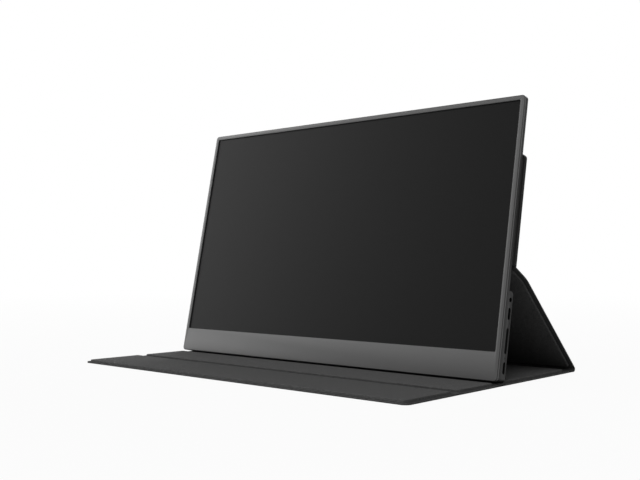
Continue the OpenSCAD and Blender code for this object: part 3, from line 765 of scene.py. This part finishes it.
class MONITOR_OT_housing(bpy.types.Operator):
    """Model the rear housing with its thick band, sockets and speaker slots"""

    bl_idname = "monitor.housing"
    bl_label = "Rear housing"

    def thin_part(self, sizes, front):
        """Upper, thin part: its rear edges are well rounded."""
        part = plate("housing", sizes.width, 0, sizes.height, front, sizes.thin_depth, sizes.corner, 10)
        bevel(part, sizes.back_round, 6, lambda e: both(e, Y, sizes.thin_depth) and sharp(e))
        return part

    def band(self, sizes, front):
        """Thick band across the foot of the back."""
        depth, height = sizes.band_depth, sizes.band_height
        part = box("band", (-sizes.width / 2, front, 0), (sizes.width / 2, depth, height))
        bevel(part, sizes.corner, 10, lambda e: runs_along(e, Y) and near(middle(e).z, 0))
        bevel(part, BAND_CORNER, 8, lambda e: both(e, Y, depth) and both(e, Z, height))
        below = height - sizes.corner
        bevel(part, BAND_EDGE, 3, lambda e: both(e, Y, depth) and sharp(e, 0.9) and middle(e).z < below)
        return part

    def add_parting(self, casing, sizes, front):
        """Draws a narrower step forward to the bezel, which leaves a gap round the side. The step's faces are
        marked for painted shade in that gap.
        """

        def in_front(face):
            return centre(face).y < front + NEAR

        edit(casing, "FACE")
        select(casing, "faces", lambda f: f.normal.y < -0.99 and in_front(f))
        bpy.ops.mesh.inset(thickness=sizes.parting_in)
        bpy.ops.mesh.extrude_region_move(TRANSFORM_OT_translate={"value": (0, -sizes.parting, 0)})
        object_mode()
        # Painted shade on the step's faces, in the gap behind the bezel.
        mark(casing, in_front, 1.0)

    def cavities(self, sizes, front):
        """Cutters for the inside of the thin part and of the band."""
        return [
            plate(
                "cavity", sizes.width - 2 * sizes.wall, sizes.wall, height - sizes.wall, front - 2 * OVERCUT,
                depth - sizes.back_wall, sizes.corner - sizes.wall
            )
            for height, depth in ((sizes.height, sizes.thin_depth), (sizes.band_height, sizes.band_depth))
        ]

    def holes(self, sizes):
        """Cutters for the sockets, the key, the light and the speaker slots."""
        half = sizes.width / 2
        inner, outer = half - sizes.wall - PAST_WALL, half + OVERCUT
        made = [side_hole(*row, sizes.port_depth, inner, outer) for row in SIDE_HOLES]
        inner, outer = sizes.band_depth - sizes.back_wall - PAST_WALL, sizes.band_depth + OVERCUT
        for side in (-1, 1):
            for k in range(SLOTS):
                x = side * SPEAKER_X + (2 * k - SLOTS + 0.5) * SLOT_WIDTH
                low, high = (x - SLOT_WIDTH / 2, inner, SLOT_LOW), (x + SLOT_WIDTH / 2, outer, SLOT_HIGH)
                slot = box("speaker_slot", low, high)
                bevel(slot, SLOT_ROUND, 5, lambda e: runs_along(e, Y))
                made.append(slot)
        return made

    def finish_holes(self, casing, sizes):
        """Paints shade on the walls of the side holes and rounds the rims of all of them."""
        half = sizes.width / 2

        def in_side_hole(face):
            x, y, _ = centre(face)
            return half - sizes.wall < x < half - NEAR and abs(y - sizes.port_depth) < 2 * MM

        def rim(edge):
            x, y, z = middle(edge)
            beside = both(edge, X, half) and y > sizes.thin_depth and SIDE_HOLES_LOW < z < SIDE_HOLES_HIGH
            behind = both(edge, Y, sizes.band_depth) and SLOT_LOW - MM < z < SLOT_HIGH + MM
            return (beside or behind and abs(x) < half - 2 * MM) and sharp(edge)

        # Painted shade on the walls of the side holes.
        mark(casing, in_side_hole, 1.0)
        bevel(casing, FINE_EDGE, 2, rim)

    def execute(self, context):
        sizes = context.scene.monitor_sizes
        front = sizes.bezel_depth + sizes.parting
        casing = self.thin_part(sizes, front)
        union(casing, self.band(sizes, front))
        self.add_parting(casing, sizes, front)
        cut(casing, *self.cavities(sizes, front))
        cut(casing, *self.holes(sizes))
        clean(casing)
        self.finish_holes(casing, sizes)
        place(casing, monitor_place(sizes))
        finish_piece(casing, "screen", "housing_plastic", ["rear_housing"])
        return {"FINISHED"}


# ---- Cover ----

SLACK = 0.03 * MM  # play between a fold's sheet and the sheets beside it
SKIN_EDGE = 0.13 * MM  # rounding of the skin's outline
LINING_EDGE = 0.2 * MM  # rounding of the thin lining's outline
FRONT_EDGE = 0.3 * MM  # rounding where the front flap's lining is thin
PAD_CORNER = 1.2 * MM  # radius of the raised lining's other corners
SINK = 0.1 * MM  # how far the raised lining starts below the thin one
# The band within BORDER of the side is where the lining takes painted light.
BORDER = 3 * MM  # the thin lining beside the raised one lies within this of the side
TUCK = 1.2 * MM  # how far a board's sheets run on past its raised lining
FLAT_ANGLE, ROUND_ANGLE = 50, 60  # smoothing of flat pieces and of tight folds, in degrees

# How far short of the leg's end its sheets and its raised lining stop
SHEET_SHORT, RAISED_SHORT = 0.9 * MM, 2.95 * MM

# A line pressed into the back panel, in from its edge
SEAM_IN, SEAM_WIDTH, SEAM_DEPTH = 3 * MM, 0.35 * MM, 0.2 * MM
PANEL_EDGE = 0.5 * MM
HEM = 1.2 * MM  # how far the back panel's skin runs round its lining


def layer_on_path(name, width, points, thickness, side):
    """Sheet across the cover on one side of points (y, z): side is -1 for the skin and 1 for the lining."""
    (y0, z0), (y1, z1) = points[0], points[1]
    deselect()
    bpy.ops.mesh.primitive_plane_add(
        size=1, location=(0, (y0 + y1) / 2, (z0 + z1) / 2), rotation=(math.atan2(z1 - z0, y1 - y0), 0, 0)
    )
    sheet = bpy.context.object
    sheet.scale = (width, math.hypot(y1 - y0, z1 - z0), 1)
    bpy.ops.object.transform_apply()
    sheet.name = sheet.data.name = name
    edit(sheet, "EDGE")
    for (ya, za), (yb, zb) in zip(points[1:], points[2:]):

        def at_end(edge):
            _, y, z = middle(edge)
            return runs_along(edge, X) and near(y, ya, EXACT) and near(z, za, EXACT)

        bpy.ops.mesh.select_all(action="DESELECT")
        select(sheet, "edges", at_end)
        bpy.ops.mesh.extrude_region_move(TRANSFORM_OT_translate={"value": (0, yb - ya, zb - za)})
    object_mode()
    solid = sheet.modifiers.new("Thickness", "SOLIDIFY")
    solid.thickness, solid.offset, solid.use_even_offset = thickness, side, True
    apply_modifiers(sheet)
    clean(sheet)

    def outline(edge):
        return all(near(abs(vertex.co.x), width / 2) for vertex in edge.verts) and sharp(edge, 1.1)

    bevel(sheet, FINE_EDGE, 2, outline)
    return sheet


def fold(name, cover, points, replaced=None, angle=FLAT_ANGLE, crease=0.0):
    """Skin and lining laid together across a joint, bent along points (y, z) of the line between them.

    replaced holds the node that one of the two layers replaces, by layer.
    """
    for layer, thickness, side in (("skin", cover.skin, -1), ("lining", cover.soft - cover.skin, 1)):
        sheet = layer_on_path(f"{name}_{layer}", cover.width - 2 * SLACK, points, thickness - SLACK, side)
        # The fold's upper lining faces are marked for speckles of painted light in the groove.
        if crease and layer == "lining":
            mark(sheet, lambda f: f.normal.z > 0.5, crease, "crease")
        nodes = [replaced[layer]] if replaced and layer in replaced else []
        finish_piece(sheet, None, f"cover_{layer}", nodes, angle)
        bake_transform(sheet)


def arc(centre_point, radius, start, stop, count):
    """Points of an arc in the side view, from angle start to stop in degrees."""
    angles = [math.radians(start + (stop - start) * k / count) for k in range(count + 1)]
    return [(centre_point[0] + radius * math.cos(a), centre_point[1] + radius * math.sin(a)) for a in angles]


def along(start, stop, count):
    """count + 1 points of a straight line in the side view."""
    return [tuple(a + (b - a) * k / count for a, b in zip(start, stop)) for k in range(count + 1)]


def crossing(a, b, c, d):
    """Where the line through a and b meets the line through c and d."""
    one, two = b - a, d - c
    share = ((c - a).x * two.y - (c - a).y * two.x) / (one.x * two.y - one.y * two.x)
    return a + one * share


def pad_skin(name, cover, y0, y1, round_front=0.0):
    """Outer skin of a board that lies flat, with eased outer edges."""
    half = cover.width / 2
    skin = box(name, (-half, y0, 0), (half, y1, cover.skin))
    if round_front:
        bevel(skin, round_front, 12, lambda e: runs_along(e, Z) and near(middle(e).y, y0))
    ends = (y1,) if round_front else (y0, y1)

    def outline(edge):
        return sharp(edge, 1.1) and not runs_along(edge, Z) and not any(both(edge, Y, end) for end in ends)

    bevel(skin, SKIN_EDGE, 2, outline)
    # The skin's sides are marked for painted light, which the finish makes lighter in speckles.
    mark(skin, lambda f: abs(f.normal.z) < 0.9 and centre(f).y < y1 - 0.1 * MM, 1.0)
    return skin


def pad_lining(name, cover, y0, y1, raised0, raised1, round_front=0.0):
    """Lining of a board that lies flat: a thin sheet, raised over the board from raised0 to raised1."""
    half = cover.width / 2
    raised_half = reach("rear_base_board", X)[1] + cover.soft - cover.skin - cover.draw_in
    sheet = box(name, (-half, y0, cover.skin), (half, y1, cover.soft))
    if round_front:
        bevel(sheet, round_front, 12, lambda e: runs_along(e, Z) and near(middle(e).y, y0))
    top = box(name, (-raised_half, raised0, cover.skin + SINK), (raised_half, raised1, cover.top))
    if round_front:
        bevel(top, cover.board_corner, 8, lambda e: runs_along(e, Z) and near(middle(e).y, raised0))
        bevel(top, PAD_CORNER, 5, lambda e: runs_along(e, Z) and near(middle(e).y, raised1))
    else:
        bevel(top, PAD_CORNER, 5, lambda e: runs_along(e, Z))
    union(sheet, top)
    # The rim is marked for a speckled painted highlight.
    bevel(sheet, cover.rim, 4, lambda e: both(e, Z, cover.top) and sharp(e), 1.0)

    def inside(edge):
        x, y, _ = middle(edge)
        return abs(x) < half - MM and y > y0 + MM

    def foot(edge):
        """The edge is at the foot of the raised lining, but not at its rear."""
        return both(edge, Z, cover.soft) and inside(edge) and sharp(edge) and middle(edge).y < raised1 - MM

    def outline(edge):
        outer = near(abs(middle(edge).x), half) or (round_front and not inside(edge))
        return both(edge, Z, cover.soft) and outer and sharp(edge, 1.1)

    if round_front:
        bevel(sheet, FRONT_EDGE, 3, foot)
    bevel(sheet, LINING_EDGE, 3, outline)
    # The walls are marked for painted light.
    mark(sheet, lambda f: abs(f.normal.z) < 0.5, 1.0)
    return sheet


class MONITOR_OT_base(bpy.types.Operator):
    """Model the three boards of the base and the two folds between them"""

    bl_idname = "monitor.base"
    bl_label = "Base of the cover"

    def board(self, cover, part, body, span, raised):
        """One board's skin and lining. span and raised are the reach in Y of the sheets and of the pad."""
        corner = cover.corner if part == "front_flap" else 0
        skin = pad_skin(f"{part}_cover", cover, *span, corner)
        finish_piece(skin, body, "cover_skin", [f"{part}_skin"], FLAT_ANGLE)
        lining = pad_lining(f"{part}_pad", cover, *span, *raised, corner)
        # The thin lining's side band is marked for painted light, as if lit from the side.
        side = cover.width / 2 - BORDER
        mark(lining, lambda f: abs(centre(f).x) > side and f.normal.z > 0.5, 0.45)
        if part != "rear_base":
            self.paint_groove_wall(lining, raised, 1 if part == "front_flap" else -1)
        nodes = [f"{part}_board", f"{part}_lining"]
        finish_piece(lining, body, "cover_lining", nodes, FLAT_ANGLE)

    def paint_groove_wall(self, lining, raised, way):
        """Paints the groove's light and shade on the raised lining's wall towards the second fold: the rear
        one if way is 1, or else -1.
        """
        wall = raised[1] if way > 0 else raised[0]

        def dark(face):
            return way * (centre(face).y - wall) > -0.2 * MM and face.normal.z < 0.5

        # Painted shade: the wall loses the painted light of the other walls. Then speckles of painted light,
        # as in the fold's groove.
        mark(lining, dark, 0.0)
        mark(lining, dark, 0.7, "crease")

    def execute(self, context):
        cover = context.scene.cover_sizes
        ease = cover.soft - cover.skin
        bodies = {"front_flap": "front_flap", "middle_flap": "middle_flap", "rear_base": "base"}
        raised = {}
        for part in bodies:
            low, high = reach(f"{part}_board", Y)
            raised[part] = (low - ease, high + ease)
        spans = {
            "front_flap": (reach("front_flap_skin", Y)[0], raised["front_flap"][1] + TUCK),
            "middle_flap": (raised["middle_flap"][0] - TUCK, reach("middle_flap_skin", Y)[1]),
            "rear_base": (raised["rear_base"][0] - TUCK, reach("rear_base_skin", Y)[1]),
        }
        for part, body in bodies.items():
            self.board(cover, part, body, spans[part], raised[part])
        z = cover.skin
        y0, y1 = raised["front_flap"][1] - MM, raised["middle_flap"][0] + MM
        fold(
            "second_fold", cover, along((y0, z), (y1, z), 16),
            crease=0.6
        )
        y0, y1 = raised["middle_flap"][1] - 1.5 * MM, raised["rear_base"][0] + MM
        fold(
            "first_fold", cover, along((y0, z), (y1, z), 20),
            {"lining": "groove_lining"}
        )
        return {"FINISHED"}


def bend_start(cover):
    """Where the leg's bend starts along the flat leg."""
    return cover.leg - cover.bend_radius * math.tan(cover.bend / 2)


def leg_end(cover):
    """Length of the flat leg, measured along its outer face."""
    return (
        bend_start(cover) + cover.bend_radius * cover.bend
        + (cover.ramp - cover.bend_radius * math.tan(cover.bend / 2))
    )


def bent(cover, y, height):
    """Point (y, z) of the flat leg at length y and that height over its outer face, after the bend."""
    radius, start = cover.bend_radius, bend_start(cover)
    turned = min(max((y - start) / radius, 0), cover.bend)
    rest = max(y - start - radius * cover.bend, 0) + min(y - start, 0)
    return (
        start + (radius - height) * math.sin(turned) + rest * math.cos(turned),
        radius - (radius - height) * math.cos(turned) + rest * math.sin(turned),
    )


class MONITOR_OT_leg(bpy.types.Operator):
    """Model the leg with its bend, the foot fold, the top fold and the back panel"""

    bl_idname = "monitor.leg"
    bl_label = "Leg and back panel"

    def bend_piece(self, cover, piece, steps=8):
        """Divides a flat piece across its bend, bends it and raises it into place."""
        edit(piece, "VERT")
        for k in range(steps + 1):
            y = bend_start(cover) + cover.bend_radius * cover.bend * k / steps
            bpy.ops.mesh.select_all(action="SELECT")
            bpy.ops.mesh.bisect(plane_co=(0, y, 0), plane_no=(0, 1, 0))
        object_mode()
        for vertex in piece.data.vertices:
            vertex.co.y, vertex.co.z = bent(cover, vertex.co.y, vertex.co.z)
        place(piece, leg_place(cover))

    def leg(self, cover):
        end = leg_end(cover)
        span = (cover.leg_start, end - SHEET_SHORT)
        raised = (cover.leg_board, end - RAISED_SHORT)
        skin = pad_skin("leg_cover", cover, *span)
        lining = pad_lining("leg_pad", cover, *span, *raised)
        for piece, slot, nodes in (
            (skin, "cover_skin", ["leg_skin"]), (lining, "cover_lining", ["leg_board", "leg_lining"])
        ):
            self.bend_piece(cover, piece)
            finish_piece(piece, "leg", slot, nodes, FLAT_ANGLE)

    def foot_fold(self, cover):
        """Along the desk, round the roll and up the leg's soft strip."""
        up, between = leg_place(cover), cover.skin
        turn = math.degrees(cover.leg_turn)
        desk_start = reach("rear_base_skin", Y)[1] - 0.8 * MM
        leg_stop = cover.leg_board + 0.6 * MM
        around = arc((cover.foot_y, cover.roll), cover.roll - between, -90, turn - 90, 16)
        rise = [tuple((up @ Vector((0, y, between))).yz) for _, y in along((0, MM), (0, leg_stop), 3)]
        points = along((desk_start, between), around[0], 8)[:-1] + around + rise
        fold("spine", cover, points, {"skin": "spine_strip"}, ROUND_ANGLE)

    def top_fold(self, cover, lean, outer):
        """Off the leg's end, round a tight corner and up the monitor's back."""
        up, between, end = leg_place(cover), cover.skin, leg_end(cover)
        off_leg = [(up @ Vector((0, *bent(cover, y, between)))).yz for y in (end - 4 * MM, end - 1.2 * MM)]
        up_panel = [
            (lean @ Vector((0, outer - between, cover.fold_height + z))).yz
            for z in (0.9 * MM, 2.4 * MM, 5 * MM)
        ]
        corner = crossing(off_leg[0], off_leg[1], up_panel[2], up_panel[0])
        curve, steps = [], 6
        for k in range(1, steps):
            t = k / steps
            curve.append(off_leg[1] * (1 - t) ** 2 + corner * 2 * t * (1 - t) + up_panel[0] * t * t)
        points = [tuple(point) for point in off_leg + curve + up_panel]
        fold("top_fold", cover, points, angle=ROUND_ANGLE)

    def back_panel(self, cover, depth, lean, outer):
        """The skin wraps the board's edges and ends round the lining."""
        low, top, ease = cover.panel_low, cover.panel_top, cover.soft - cover.skin
        back = plate("back_panel", cover.width, low, top, depth + ease, outer)
        bevel(back, cover.panel_corner, 10, lambda e: runs_along(e, Y) and near(middle(e).z, top))
        edit(back, "FACE")
        select(back, "faces", lambda f: f.normal.y > 0.9)
        bpy.ops.mesh.inset(thickness=SEAM_IN)
        bpy.ops.mesh.inset(thickness=SEAM_WIDTH, depth=-SEAM_DEPTH)
        bpy.ops.mesh.inset(thickness=SEAM_WIDTH, depth=SEAM_DEPTH)
        object_mode()
        bevel(back, PANEL_EDGE, 4, lambda e: both(e, Y, outer) and sharp(e, 1.1) and middle(e).z > low + MM)
        place(back, lean)
        finish_piece(back, "screen", "cover_skin", ["back_panel_skin", "back_panel_board"], FLAT_ANGLE)
        lining = plate("back_lining", cover.width - 2 * HEM, low, top - HEM, depth, depth + ease)
        bevel(lining, cover.panel_corner, 10, lambda e: runs_along(e, Y) and near(middle(e).z, top - HEM))
        bevel(lining, FINE_EDGE, 2, lambda e: both(e, Y, depth) and sharp(e, 1.1))
        place(lining, lean)
        finish_piece(lining, "screen", "cover_lining", ["back_panel_lining"], FLAT_ANGLE)

    def execute(self, context):
        cover = context.scene.cover_sizes
        monitor = context.scene.monitor_sizes
        lean = monitor_place(monitor)
        outer = monitor.thin_depth + cover.panel_depth
        self.leg(cover)
        self.foot_fold(cover)
        self.top_fold(cover, lean, outer)
        self.back_panel(cover, monitor.thin_depth, lean, outer)
        return {"FINISHED"}


# ---- Stage ----

# Name, place, what it aims at, width and height, power in watts
LAMPS = (
    ("key_left", (-2.1, -0.95, 0.9), (0, 0, 0.12), (1.6, 1.8), 27),
    ("back_left", (-1.0, 2.0, 1.3), (0, 0, 0.1), (1.2, 1.2), 26),
    ("front_high", (1.0, -2.5, 2.8), (0, 0, 0.1), (2.1, 1.8), 54),
)
WORLD_LIGHT = 0.36
FLOOR_SIZE = 12
FLOOR_DROP = 0.05 * MM
GLOW_NEAR, GLOW_FAR = 0.95, 1.0  # share of plain white in the floor near the object and far off
FADE_FROM, FADE_TO = 0.3, 1.8  # distances between which that share changes
CAMERA_PLACE = (0.51046, -0.56776, 0.0909)
CAMERA_TURN = (math.radians(91.336), 0, math.radians(41.945))
LENS, SENSOR = 50, 36  # in millimetres, as Blender takes them


def area_lamp(name, place_at, aim, size, power):
    lamp = bpy.data.lights.new(name, "AREA")
    lamp.shape, lamp.size, lamp.size_y, lamp.energy = "RECTANGLE", *size, power
    obj = bpy.data.objects.new(name, lamp)
    bpy.context.scene.collection.objects.link(obj)
    obj.location = place_at
    obj.rotation_mode = "QUATERNION"
    obj.rotation_quaternion = (Vector(aim) - Vector(place_at)).to_track_quat("-Z", "Y")


class MONITOR_OT_stage(bpy.types.Operator):
    """Set up the floor, the soft lamps, the world and the camera"""

    bl_idname = "monitor.stage"
    bl_label = "Stage"

    def seen(self, tree):
        """1 for a camera ray and for the rays that metal and glass show."""
        path = tree.nodes.new("ShaderNodeLightPath")
        value = path.outputs["Is Camera Ray"]
        for name in ("Is Glossy Ray", "Is Transmission Ray"):
            node = tree.nodes.new("ShaderNodeMath")
            node.operation = "MAXIMUM"
            tree.links.new(value, node.inputs[0])
            tree.links.new(path.outputs[name], node.inputs[1])
            value = node.outputs[0]
        return value

    def floor_material(self, colour):
        """Matt floor that catches the shadow, mixed with plain white more and more with distance."""
        surface = Surface("floor", colour, 1.0, 0.0)
        glow = surface.add("ShaderNodeEmission", Color=(1, 1, 1, 1))
        away = surface.add("ShaderNodeVectorMath")
        away.operation = "LENGTH"
        surface.link(surface.place, away.inputs[0])
        fade = surface.span(away.outputs["Value"], FADE_FROM, FADE_TO, GLOW_NEAR, GLOW_FAR)
        share = surface.combine(self.seen(surface.tree), fade, "MULTIPLY")
        mix = surface.tree.nodes.new("ShaderNodeMixShader")
        for socket, value in zip(mix.inputs, (share, surface.shader.outputs[0], glow.outputs[0])):
            surface.link(value, socket)
        surface.link(mix.outputs[0], surface.tree.nodes["Material Output"].inputs["Surface"])
        return finish_of("floor")

    def floor(self, colour):
        deselect()
        bpy.ops.mesh.primitive_plane_add(size=FLOOR_SIZE, location=(0, 0, -FLOOR_DROP))
        floor = bpy.context.object
        floor.name = "floor"
        floor.data.materials.append(self.floor_material(colour))

    def world(self, scene):
        world = bpy.data.worlds.new("studio")
        scene.world = world
        world.use_nodes = True
        tree = world.node_tree
        back = tree.nodes["Background"]
        back.inputs["Color"].default_value = (1, 1, 1, 1)
        strength = tree.nodes.new("ShaderNodeMapRange")
        tree.links.new(self.seen(tree), strength.inputs["Value"])
        strength.inputs["To Min"].default_value = WORLD_LIGHT
        strength.inputs["To Max"].default_value = 1.0
        tree.links.new(strength.outputs["Result"], back.inputs["Strength"])

    def camera(self, scene):
        camera = bpy.data.cameras.new("camera")
        camera.lens, camera.sensor_width = LENS, SENSOR
        holder = bpy.data.objects.new("camera", camera)
        scene.collection.objects.link(holder)
        holder.location = CAMERA_PLACE
        holder.rotation_euler = CAMERA_TURN
        scene.camera = holder

    def execute(self, context):
        scene = context.scene
        self.floor(scene.finish_colours.floor)
        self.world(scene)
        for lamp in LAMPS:
            area_lamp(*lamp)
        scene.view_settings.view_transform = "Standard"
        self.camera(scene)
        return {"FINISHED"}


class MONITOR_PT_builder(bpy.types.Panel):
    """Lists the steps that build the monitor"""

    bl_label = "Portable Monitor"
    bl_idname = "MONITOR_PT_builder"
    bl_space_type = "VIEW_3D"
    bl_region_type = "UI"
    bl_category = "Monitor"

    def draw(self, context):
        column = self.layout.column(align=True)
        for step in STEPS:
            column.operator(step.bl_idname)


STEPS = (
    MONITOR_OT_finishes, MONITOR_OT_bezel, MONITOR_OT_housing, MONITOR_OT_base, MONITOR_OT_leg,
    MONITOR_OT_stage,
)
CLASSES = (MonitorSizes, CoverSizes, FinishColours, *STEPS, MONITOR_PT_builder)


def register():
    for cls in CLASSES:
        bpy.utils.register_class(cls)
    bpy.types.Scene.monitor_sizes = PointerProperty(type=MonitorSizes)
    bpy.types.Scene.cover_sizes = PointerProperty(type=CoverSizes)
    bpy.types.Scene.finish_colours = PointerProperty(type=FinishColours)


def unregister():
    del bpy.types.Scene.monitor_sizes
    del bpy.types.Scene.cover_sizes
    del bpy.types.Scene.finish_colours
    for cls in reversed(CLASSES):
        bpy.utils.unregister_class(cls)


def main():
    register()
    bpy.ops.monitor.finishes()
    bpy.ops.monitor.bezel()
    bpy.ops.monitor.housing()
    bpy.ops.monitor.base()
    bpy.ops.monitor.leg()
    bpy.ops.monitor.stage()


if __name__ == "__main__":
    main()
